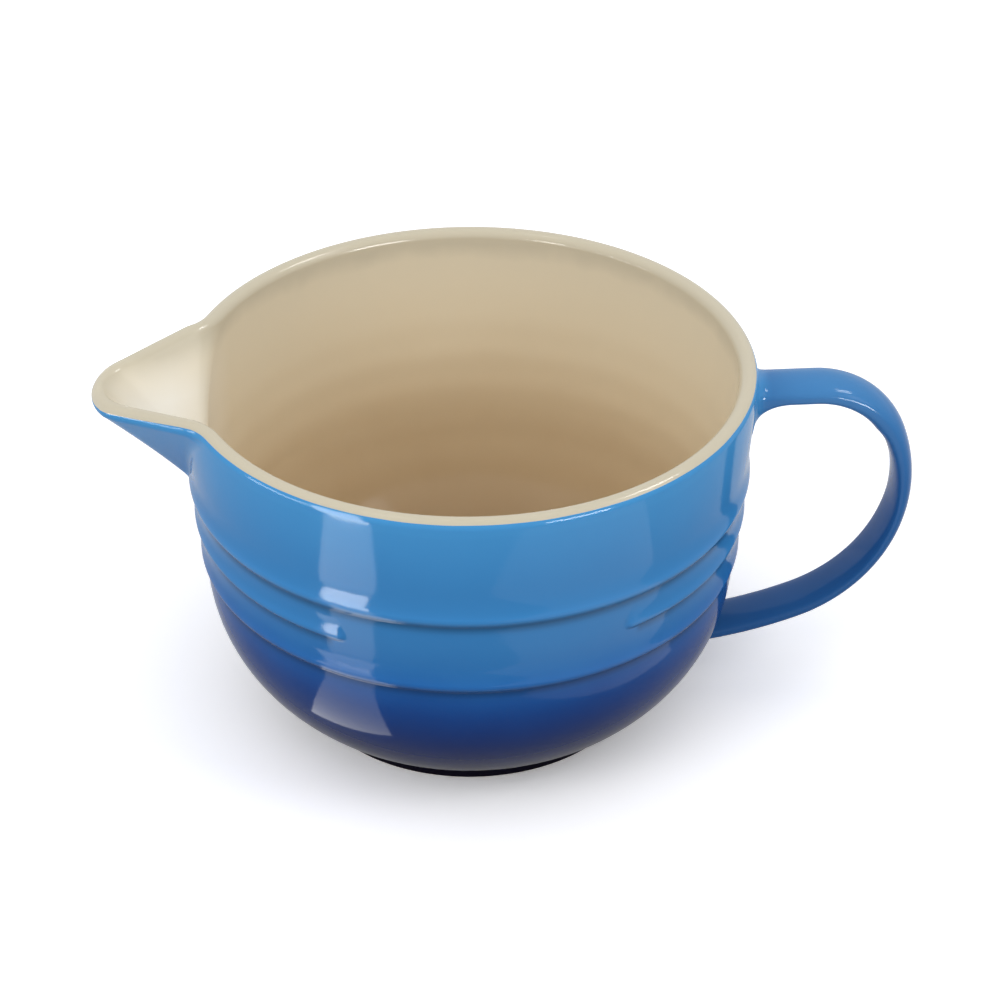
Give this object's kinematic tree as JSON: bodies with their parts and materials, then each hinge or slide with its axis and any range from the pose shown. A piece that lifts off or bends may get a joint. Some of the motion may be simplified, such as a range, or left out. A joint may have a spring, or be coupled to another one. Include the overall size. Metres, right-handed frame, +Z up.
{
  "type": "batter bowl",
  "caption": "Deep round stoneware batter bowl with a drawn-out pouring spout, moulded bands, a strap handle opposite the spout and a low foot ring.",
  "frame": {"origin": "on the table under the middle of the bowl, in the plane the foot ring rests on", "axes": "+X towards the handle, -X towards the spout, -Y towards the front with the bare panel, +Z up"},
  "size_m": [0.2573, 0.1776, 0.1198],
  "materials": {
    "clay": "fired stoneware",
    "bare_foot": "unglazed, wiped and ground flat",
    "cream_glaze": "glossy cream glaze",
    "blue_glaze": "glossy glaze graded from mid blue to deep navy",
    "handle_blue_glaze": "glossy mid-blue glaze"
  },
  "bodies": {
    "root": {"bowl_body": "clay", "foot_ring": "bare_foot", "middle_band": "clay", "pouring_spout": "clay", "handle": "clay", "interior_glaze": "cream_glaze", "exterior_glaze": "blue_glaze", "handle_glaze": "handle_blue_glaze"}
  },
  "joints": []
}
